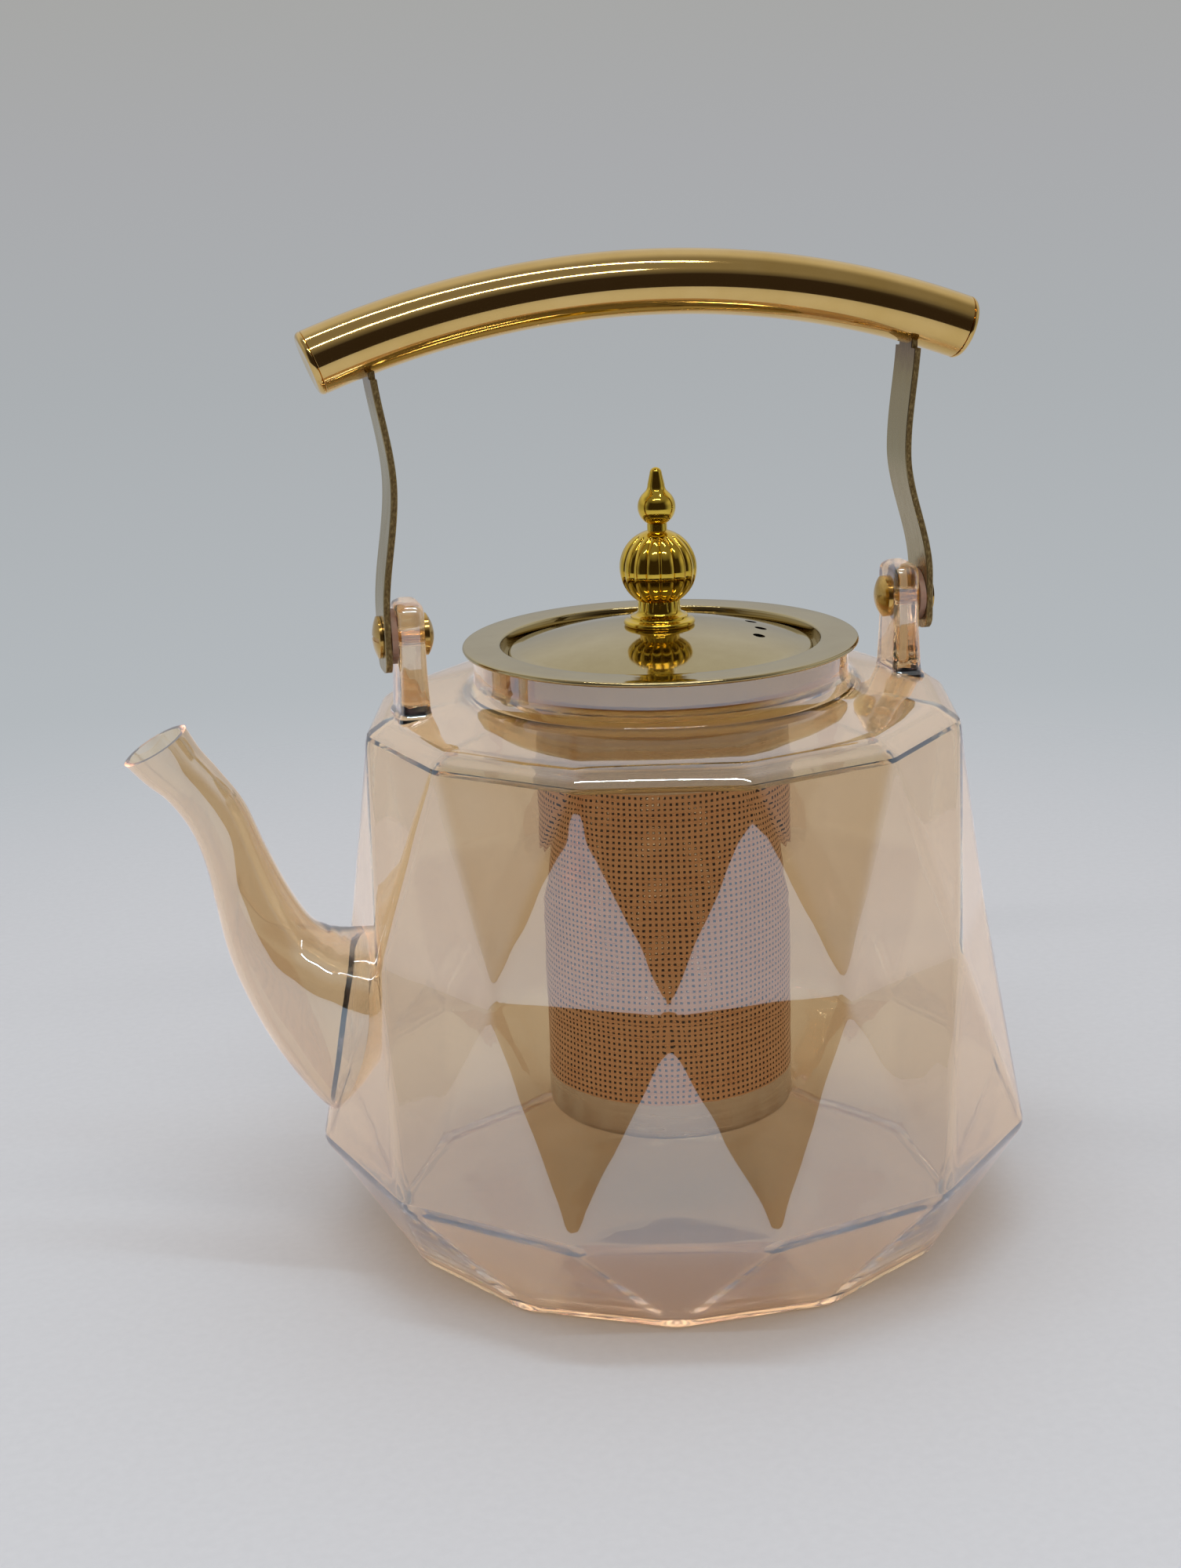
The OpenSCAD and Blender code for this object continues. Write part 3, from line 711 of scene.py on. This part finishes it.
def handle_cap(side):
    """A pressed end cap with a rounded edge and a shallow dished face."""
    edge = 1.1
    turn = side * ARCH_HALF
    outline = [(0.0, TUBE_R - 0.3), (0.0, TUBE_R - 0.02)]
    outline += [(0.1 + edge * math.sin(a), TUBE_R - edge + edge * math.cos(a))
                for a in np.linspace(0, math.pi / 2, 9)]
    outline += [(0.1 + edge - 0.25 * (1 - math.cos(s * math.pi)) / 2, (TUBE_R - edge) * (1 - s))
                for s in np.linspace(0.12, 0.95, 8)]
    profile = [(turn, side * advance, radius) for advance, radius in outline]
    name = "grip_cap_left" if side < 0 else "grip_cap_right"
    return face_outwards(tube_of_rows(name, arch_rows(profile), [TUBE_GOLD], 0))


def ease(t):
    """A smooth step from 0 to 1."""
    t = max(0.0, min(1.0, t))
    return t * t * (3 - 2 * t)


def strap_in_at(z, side):
    """Inner face of a strap: upright by the pivot, waisted above it."""
    bend = WAIST_IN[side] * ease((z - STRAP_BEND_Z) / STRAP_BEND_H)
    return STRAP_IN - bend + (WAIST_IN[side] - GRIP_IN[side]) * ease((z - STRAP_WAIST_Z) / STRAP_BEND_H)


def strap(side):
    """A flat strip with punched edges: straight at the pivot, waisted above it, with a
    narrower tab that goes into the tube."""
    corner = 3
    bevel = 0.16
    levels = [STRAP_FOOT, STRAP_FOOT + 0.3, STRAP_FOOT + 1, STRAP_FOOT + 2, STRAP_FOOT + corner]
    levels += [STRAP_FOOT + corner + (STRAP_TOP - STRAP_FOOT - corner) * i / 64 for i in range(1, 65)]
    levels += [STRAP_TOP + 0.01, TAB_TOP]
    points, faces, finish = [], [], []
    for z in levels:
        half = STRAP_W / 2 if z <= STRAP_TOP else TAB_W / 2
        below = STRAP_FOOT + corner - z
        if below > 0:
            half -= corner - math.sqrt(max(0.0, corner * corner - below * below))
        x0 = strap_in_at(z, side)
        x1 = x0 + STRAP_T
        loop = [(x0 + bevel, -half), (x1 - bevel, -half), (x1, -half + bevel), (x1, half - bevel),
                (x1 - bevel, half), (x0 + bevel, half), (x0, half - bevel), (x0, -half + bevel)]
        points += [(side * x, y, z) for x, y in loop]
    for j in range(len(levels) - 1):
        for c in range(8):
            d = (c + 1) % 8
            faces.append((j * 8 + c, j * 8 + d, (j + 1) * 8 + d, (j + 1) * 8 + c))
            finish.append(1 if c in (0, 4) else 0)
    faces.append(tuple(range(8)))
    faces.append(tuple(range((len(levels) - 1) * 8, len(levels) * 8)))
    finish += [1, 0]
    name = "strap_left" if side < 0 else "strap_right"
    made = face_outwards(piece_from(name, points, faces, [STRIP, PUNCHED], finish, 30))
    near, far = side * (STRAP_IN - 2), side * (STRAP_IN + STRAP_T + 2)
    carve(made, rod_along_x("hole", near, far, SHANK_R + 0.08, [STRIP, PUNCHED]), "DIFFERENCE")
    shade(made, 30)
    return made


# --- infuser ---------------------------------------------------------------------------
def perforated_sheet():
    """The etched tube of the basket. Geometry Nodes lay out a flat sheet of square
    cells, open a hole in each and roll it round the axis."""
    tree = bpy.data.node_groups.new("perforations", "GeometryNodeTree")
    values = {}
    for label, kind, value in (("Radius", "NodeSocketFloat", BASKET_R * MM),
                               ("Foot", "NodeSocketFloat", MESH_FOOT * MM),
                               ("Head", "NodeSocketFloat", MESH_HEAD * MM),
                               ("Holes round", "NodeSocketInt", HOLES_ROUND),
                               ("Rows", "NodeSocketInt", HOLE_ROWS),
                               ("Hole share", "NodeSocketFloat", HOLE_SHARE),
                               ("Sheet finish", "NodeSocketMaterial", MESH_SHEET)):
        socket = tree.interface.new_socket(label, in_out="INPUT", socket_type=kind)
        values[socket.identifier] = value
    tree.interface.new_socket("Geometry", in_out="OUTPUT", socket_type="NodeSocketGeometry")
    given = add(tree, "NodeGroupInput").outputs
    across = add(tree, "ShaderNodeMath", {0: given["Holes round"], 1: 1.0}, operation="ADD")
    along = add(tree, "ShaderNodeMath", {0: given["Rows"], 1: 1.0}, operation="ADD")
    flat = add(tree, "GeometryNodeMeshGrid", {"Size X": 1.0, "Size Y": 1.0, "Vertices X": across.outputs[0],
                                              "Vertices Y": along.outputs[0]})
    lifted = add(tree, "GeometryNodeExtrudeMesh", {"Mesh": flat.outputs["Mesh"], "Offset Scale": 0.0,
                                                   "Individual": True}, mode="FACES")
    shrunk = add(tree, "GeometryNodeScaleElements", {"Geometry": lifted.outputs["Mesh"],
                                                     "Selection": lifted.outputs["Top"],
                                                     "Scale": given["Hole share"]}, domain="FACE")
    opened = add(tree, "GeometryNodeDeleteGeometry", {"Geometry": shrunk.outputs["Geometry"],
                                                      "Selection": lifted.outputs["Top"]}, domain="FACE")
    spot = add(tree, "ShaderNodeSeparateXYZ", {"Vector": add(tree, "GeometryNodeInputPosition").outputs[0]})
    angle = add(tree, "ShaderNodeMath", {0: spot.outputs["X"], 1: 2 * math.pi}, operation="MULTIPLY")
    cosine = add(tree, "ShaderNodeMath", {0: angle.outputs[0]}, operation="COSINE")
    sine = add(tree, "ShaderNodeMath", {0: angle.outputs[0]}, operation="SINE")
    east = add(tree, "ShaderNodeMath", {0: cosine.outputs[0], 1: given["Radius"]}, operation="MULTIPLY")
    north = add(tree, "ShaderNodeMath", {0: sine.outputs[0], 1: given["Radius"]}, operation="MULTIPLY")
    rise = add(tree, "ShaderNodeMapRange", {"Value": spot.outputs["Y"], "From Min": -0.5, "From Max": 0.5,
                                            "To Min": given["Foot"], "To Max": given["Head"]})
    rolled = add(tree, "ShaderNodeCombineXYZ", {"X": east.outputs[0], "Y": north.outputs[0],
                                                "Z": rise.outputs["Result"]})
    wrapped = add(tree, "GeometryNodeSetPosition", {"Geometry": opened.outputs["Geometry"],
                                                    "Position": rolled.outputs["Vector"]})
    joined = add(tree, "GeometryNodeMergeByDistance", {
        "Geometry": wrapped.outputs["Geometry"], "Distance": 1e-6})
    real = add(tree, "GeometryNodeRealizeInstances", {"Geometry": joined.outputs["Geometry"]})
    painted = add(tree, "GeometryNodeSetMaterial", {"Geometry": real.outputs["Geometry"],
                                                    "Material": given["Sheet finish"]})
    add(tree, "NodeGroupOutput", {"Geometry": painted.outputs["Geometry"]})
    made = bpy.data.objects.new("basket_mesh", bpy.data.meshes.new("basket_mesh"))
    bpy.context.scene.collection.objects.link(made)
    rule = made.modifiers.new("perforations", "NODES")
    rule.node_group = tree
    for identifier, value in values.items():
        rule[identifier] = value
    settle(made)
    # The inner face and the holes' rims take the dark copy of the sheet, as painted shade inside the basket
    wall = made.modifiers.new("wall", "SOLIDIFY")
    wall.thickness = 0.4 * MM
    wall.offset = -1
    made.data.materials.append(SHADED_INSIDE_SHEET)
    wall.material_offset = 1
    wall.material_offset_rim = 1
    settle(made)
    shade(made, 40)
    return made


def basket_band(name, low, high, floor=False):
    """A plain band of the basket's tube, with a rounded foot and a floor if it is the
    bottom one."""
    wall, bend = 0.5, 1.6
    if floor:
        profile = [(0, low), (BASKET_R - bend, low)] + arc(BASKET_R - bend, low + bend, bend, -90, 0, 6)
        profile += [(BASKET_R, high), (BASKET_R - wall, high)]
        profile += arc(BASKET_R - bend, low + bend, bend - wall, 0, -90, 6) + [(0, low + wall)]
        return turned(name, profile, SHEET, closed=False)
    inside = BASKET_R - wall
    return turned(name, [(inside, low), (BASKET_R, low), (BASKET_R, high), (inside, high)], SHEET)


def infuser_cup():
    """The collar that plugs the neck, from under the flange to its floor round the
    basket."""
    wall, bend = 0.8, 2.2
    top = NECK_TOP - 0.05
    profile = [(CUP_R - wall, top), (CUP_R - wall, CUP_FLOOR + bend)]
    profile += arc(CUP_R - bend, CUP_FLOOR + bend, bend - wall, 0, -90, 6)
    profile += [(BASKET_R - 0.6, CUP_FLOOR + wall), (BASKET_R - 0.6, CUP_FLOOR)]
    profile += arc(CUP_R - bend, CUP_FLOOR + bend, bend, -90, 0, 8) + [(CUP_R, top)]
    return turned("infuser_collar", profile, SATIN)


def infuser_rim():
    """The flange on the neck, with a rolled edge and a seat turned in for the lid. Its
    top face sinks slightly between its edges."""
    wall, roll, dip = 0.8, 0.5, 0.02
    top = NECK_TOP + 1
    profile = [(SEAT_BORE_R, SEAT_Z - wall), (SEAT_R + wall, SEAT_Z - wall), (SEAT_R + wall, NECK_TOP)]
    profile += arc(RIM_R - roll, top - roll, roll, -90, 90, 10)
    profile += [(38.0, top - dip), (35.6, top - dip)]
    profile += arc(SEAT_R + roll, top - roll, roll, 90, 180, 6)
    profile += [(SEAT_R, SEAT_Z), (SEAT_BORE_R, SEAT_Z)]
    return turned("flange", profile, SATIN, segments=160)


# --- lid ---------------------------------------------------------------------------------
def dome_z(r):
    """Height of the lid's dome at a distance from its middle."""
    return LID_TOP - DOME_R + math.sqrt(DOME_R * DOME_R - r * r)


def lid_dome():
    """The pressed lid with a short rolled rim and three vent holes."""
    bend = 0.9
    steps = 18
    outer_r, inner_r = 30.7, 30.2
    outer = [(outer_r * i / steps, dome_z(outer_r * i / steps)) for i in range(steps + 1)]
    edge = arc(LID_R - bend, dome_z(outer_r) - bend + 0.02, bend, 80, 0, 6)
    inner = [(inner_r * i / steps, dome_z(inner_r * i / steps) - LID_T) for i in range(steps, -1, -1)]
    profile = outer + edge + [(LID_R, SEAT_Z + 0.05), (LID_R - LID_T, SEAT_Z + 0.05)] + inner
    lid = face_outwards(turned("lid_cover", profile, SATIN, closed=False, segments=160))
    for degrees in VENT_TURNS:
        spin = math.radians(degrees)
        drill = [(0, SEAT_Z - 3), (VENT_R, SEAT_Z - 3), (VENT_R, SEAT_Z + 9), (0, SEAT_Z + 9)]
        hole = turned("vent", drill, SATIN, closed=False, segments=32)
        out = VENT_OUT * MM
        hole.data.transform(Matrix.Translation((out * math.cos(spin), out * math.sin(spin), 0)))
        carve(lid, face_outwards(hole), "DIFFERENCE")
    shade(lid, 32)
    return lid


def finial():
    """A cast finial: foot, ribbed ball, small ball and tip."""
    flange, stem, waist, tip = 7.4, 4.4, 2.05, 1.25
    ball, ball_z, bead, bead_z, tip_z = 8.0, 141.05, 3.9, 153.6, 161.7
    edge = 0.6
    rib_depth, fade_end, fade_run = 0.55, 0.93, 0.12
    foot = dome_z(flange)
    low = -math.degrees(math.acos(stem / ball))
    high = math.degrees(math.acos(waist / ball))
    profile = [(0, dome_z(0)), (flange - edge, dome_z(flange - edge))]
    profile += arc(flange - edge, foot + edge, edge, -90, 90, 8)
    profile += [(6.2, foot + 1.35), (5.95, foot + 1.6), (5.95, foot + 1.9), (5.7, foot + 2.1)]
    profile += arc(stem + 1.2, foot + 3.3, 1.2, -90, -180, 6)
    profile += arc(0, ball_z, ball, low, high, 40)
    profile += arc(0, bead_z, bead, -math.degrees(math.acos(waist / bead)), 42, 20)
    profile += arc(tip + 2.7, bead_z + 4.6, 2.2, 215, 180, 4)
    profile += arc(0, tip_z - tip, tip, 0, 90, 6)
    profile = [(max(r, 0.0) if r > 1e-4 else 0.0, z) for r, z in profile]

    def gadroon(r, z, angle):
        """Sixteen rounded ribs that fade out near the ball's poles."""
        away = abs(z - ball_z) / ball
        if away >= fade_end or r < stem:
            return r
        depth = rib_depth * min(1.0, (fade_end - away) / fade_run)
        return r - depth * (1 - abs(math.cos(8 * angle)) ** 0.45)

    made = turned("finial", profile, FINIAL_GOLD, closed=False, segments=288, flutes=gadroon, crease=50)
    return face_outwards(made)


# --- put the pieces on their bodies ---------------------------------------------------------
def place(piece, body, slot, *nodes):
    """A finished piece rides on a body and stands for nodes. slot is not used."""
    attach(piece, body)
    if nodes:
        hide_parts(*nodes)
    return piece


place(fused_glass(), "pot", "lustre_glass", "glass_body", "glass_base", "glass_spout",
      "glass_lug_left", "glass_lug_right")
place(handle_tube(), "handle", "plated_gold", "handle_tube")
place(handle_cap(-1), "handle", "plated_gold", "handle_cap_left")
place(handle_cap(1), "handle", "plated_gold", "handle_cap_right")
place(strap(-1), "handle", "strap_steel", "handle_strap_left")
place(strap(1), "handle", "strap_steel", "handle_strap_right")
place(perforated_sheet(), "infuser", "perforated_steel", "infuser_basket")
place(basket_band("basket_top_band", 100.0, CUP_FLOOR), "infuser", "steel_sheet")
place(basket_band("basket_foot", BASKET_Z, 33.0, True), "infuser", "steel_sheet", "infuser_bottom")
place(infuser_cup(), "infuser", "steel_sheet", "infuser_cup")
place(infuser_rim(), "infuser", "satin_gold", "infuser_rim")
place(lid_dome(), "lid", "satin_gold", "lid_dome")
place(finial(), "lid", "plated_gold", "lid_knob")

# CAD nodes that keep their shape get their real finish
KEPT = {
    "pivot_screw_left": SCREW_GOLD, "pivot_screw_right": SCREW_GOLD, "pivot_nut_left": SCREW_GOLD,
    "pivot_nut_right": SCREW_GOLD, "pivot_washer_left": RUBBER, "pivot_washer_right": RUBBER,
    "lid_skirt": SATIN, "knob_screw": SHEET, "knob_washer": SHEET,
}
for name, finish in KEPT.items():
    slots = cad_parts[name].material_slots
    for index in range(len(slots)):
        slots[index].material = finish


# --- table, light and camera -------------------------------------------------------------------
def table():
    """A pale painted table that fades into the room's colour at its edge."""
    made, tree, out = material("painted_table")
    where = add(tree, "ShaderNodeTexCoord").outputs["Object"]
    flat = add(tree, "ShaderNodeMapping", {"Vector": where, "Scale": (1.0, 1.0, 0.0)})
    reach = add(tree, "ShaderNodeVectorMath", {0: flat.outputs["Vector"]}, operation="LENGTH")
    fade = add(tree, "ShaderNodeMapRange", {
        "Value": reach.outputs["Value"], "From Min": 0.22, "From Max": 0.55}, interpolation_type="SMOOTHSTEP")
    # What the glass and gold mirror is a table with a plain edge
    mirrored = add(tree, "ShaderNodeLightPath").outputs["Is Glossy Ray"]
    kept = add(tree, "ShaderNodeMath", {0: 1.0, 1: mirrored}, operation="SUBTRACT")
    faded = add(tree, "ShaderNodeMath", {0: fade.outputs["Result"], 1: kept.outputs[0]}, operation="MULTIPLY")
    grain = add(tree, "ShaderNodeTexNoise", {"Vector": where, "Scale": 500.0, "Detail": 3.0})
    tint = add(tree, "ShaderNodeValToRGB", {
        "Fac": grain.outputs["Fac"]}, [(0.3, "#DBDDE3"), (0.7, "#DEE0E6")])
    paint = add(tree, "ShaderNodeBsdfPrincipled", {
        "Base Color": tint.outputs["Color"], "Roughness": 0.6, "Specular IOR Level": 0.25})
    clear = add(tree, "ShaderNodeBsdfTransparent")
    mixed = add(tree, "ShaderNodeMixShader", {"Fac": faded.outputs[0], 1: paint.outputs["BSDF"],
                                              2: clear.outputs["BSDF"]})
    tree.links.new(mixed.outputs["Shader"], out.inputs["Surface"])
    around, radius, level = 96, 700, -0.02
    turns = [2 * math.pi * i / around for i in range(around)]
    points = [(0, 0, level)] + [(radius * math.cos(a), radius * math.sin(a), level) for a in turns]
    faces = [(0, 1 + i, 1 + (i + 1) % around) for i in range(around)]
    top = piece_from("table_top", points, faces, [made])


# The way from the pot to the dark opening in front of it
ROOM_FRONT = (-0.23, -0.973, 0.0)


def room():
    """The room round the table: pale by height, brightest at the table, and dark in the
    open front above the table for what the glass and the gold mirror."""
    world = bpy.data.worlds.new("room")
    bpy.context.scene.world = world
    world.use_nodes = True
    tree = world.node_tree
    tree.nodes.clear()
    out = add(tree, "ShaderNodeOutputWorld")
    way = add(tree, "ShaderNodeTexCoord").outputs["Generated"]
    axes = add(tree, "ShaderNodeSeparateXYZ", {"Vector": way})
    rise = add(tree, "ShaderNodeMapRange", {"Value": axes.outputs["Z"], "From Min": -0.6, "From Max": 0.4})
    # Height is the sine of the elevation, from -0.6 at 0 to 0.4 at 1
    walls = add(tree, "ShaderNodeValToRGB", {"Fac": rise.outputs["Result"]}, [
        (0.04, "#D1D3D6"), (0.16, "#C8CBD0"), (0.24, "#C1C5CA"), (0.31, "#BBC0C5"), (0.37, "#B4B9BD"),
        (0.5, "#ABAFB2"), (0.59, "#A9AAAC"), (0.66, "#A7A7A5"), (1.0, "#D0D0D0")])
    pale = walls.outputs["Color"]
    # What shiny pieces mirror: a dimmer ceiling, and a dark opening at the front
    toward = add(tree, "ShaderNodeVectorMath", {0: way, 1: ROOM_FRONT}, operation="DOT_PRODUCT")
    height = add(tree, "ShaderNodeMapRange", {"Value": axes.outputs["Z"], "From Min": 0.25, "From Max": 0.6},
                 interpolation_type="SMOOTHSTEP")
    front = add(tree, "ShaderNodeMapRange", {
        "Value": toward.outputs["Value"], "From Min": -0.5, "From Max": 0.0}, interpolation_type="SMOOTHSTEP")
    dim = add(tree, "ShaderNodeMath", {
        0: height.outputs["Result"], 1: front.outputs["Result"]}, operation="MULTIPLY")
    ceiling = add(tree, "ShaderNodeMix", {
        "Factor": dim.outputs[0], 6: pale, 7: colour("#8C8880")}, data_type="RGBA")
    lobe = add(tree, "ShaderNodeMapRange", {
        "Value": toward.outputs["Value"], "From Min": 0.1, "From Max": 0.7}, interpolation_type="SMOOTHSTEP")
    gate = add(tree, "ShaderNodeMapRange", {"Value": axes.outputs["Z"], "From Min": 0.7, "From Max": 0.45})
    opening = add(tree, "ShaderNodeMath", {
        0: lobe.outputs["Result"], 1: gate.outputs["Result"]}, operation="MULTIPLY")
    mirrored = add(tree, "ShaderNodeMix", {
        "Factor": opening.outputs[0], 6: ceiling.outputs[2], 7: colour("#332B26")}, data_type="RGBA")
    rays = add(tree, "ShaderNodeLightPath")
    bounced = add(tree, "ShaderNodeMath", {
        0: rays.outputs["Is Glossy Ray"], 1: rays.outputs["Is Reflection Ray"]}, operation="MULTIPLY")
    seen = add(tree, "ShaderNodeMix", {"Factor": bounced.outputs[0], 6: pale, 7: mirrored.outputs[2]},
               data_type="RGBA")
    glow = add(tree, "ShaderNodeBackground", {"Color": seen.outputs[2], "Strength": 1.0})
    tree.links.new(glow.outputs["Background"], out.inputs["Surface"])


def lamp(name, at, towards, wide, deep, power, tone, diodes):
    """A strip light that faces a point, with a row of diodes along it."""
    data = bpy.data.lights.new(name, "AREA")
    data.shape = "RECTANGLE"
    data.size = wide
    data.size_y = deep
    data.energy = power
    data.color = colour(tone)[:3]
    data.use_nodes = True
    tree = data.node_tree
    tree.nodes.clear()
    along = add(tree, "ShaderNodeSeparateXYZ", {
        "Vector": add(tree, "ShaderNodeNewGeometry").outputs["Parametric"]})
    turn = add(tree, "ShaderNodeMath", {0: along.outputs["X"], 1: 2 * math.pi * diodes}, operation="MULTIPLY")
    wave = add(tree, "ShaderNodeMath", {0: turn.outputs[0]}, operation="SINE")
    glow = add(tree, "ShaderNodeMapRange", {"Value": wave.outputs[0], "From Min": -0.5, "From Max": 0.5,
                                            "To Min": 0.3, "To Max": 1.7})
    shine = add(tree, "ShaderNodeEmission", {"Strength": glow.outputs["Result"]})
    add(tree, "ShaderNodeOutputLight", {"Surface": shine.outputs["Emission"]})
    made = bpy.data.objects.new(name, data)
    made.location = at
    made.rotation_euler = (Vector(towards) - Vector(at)).to_track_quat("-Z", "Y").to_euler()
    bpy.context.scene.collection.objects.link(made)


def camera():
    """A camera in front of the pot, a little to its left and above it."""
    turn, tilt, roll = math.radians(-13.07), math.radians(15.73), math.radians(-1.98)
    right = Vector((math.cos(turn), math.sin(turn), 0))
    back = Vector((math.sin(turn) * math.cos(tilt), -math.cos(turn) * math.cos(tilt), math.sin(tilt)))
    up = back.cross(right)
    local_x = math.cos(roll) * right + math.sin(roll) * up
    local_y = -math.sin(roll) * right + math.cos(roll) * up
    data = bpy.data.cameras.new("camera")
    data.lens = 53.85
    data.sensor_width = 36
    data.clip_start = 0.01
    made = bpy.data.objects.new("camera", data)
    bpy.context.scene.collection.objects.link(made)
    placed = Matrix((local_x, local_y, back)).transposed().to_4x4()
    placed.translation = Vector((-0.12264, -0.46010, 0.22936))
    made.matrix_world = placed
    bpy.context.scene.camera = made


table()
room()
lamp("strip_front", (-0.08, -0.4, 0.68), (0, 0, 0.1), 0.5, 0.016, 0.8, "#FFFDF8", 26)
lamp("strip_top", (-0.03, -0.06, 0.82), (0, 0, 0.1), 0.6, 0.02, 1.1, "#FFFDF8", 26)
camera()
scene = bpy.context.scene
scene.view_settings.view_transform = "Standard"
scene.cycles.max_bounces = 40
scene.cycles.transmission_bounces = 40
scene.cycles.glossy_bounces = 40
scene.cycles.transparent_max_bounces = 24
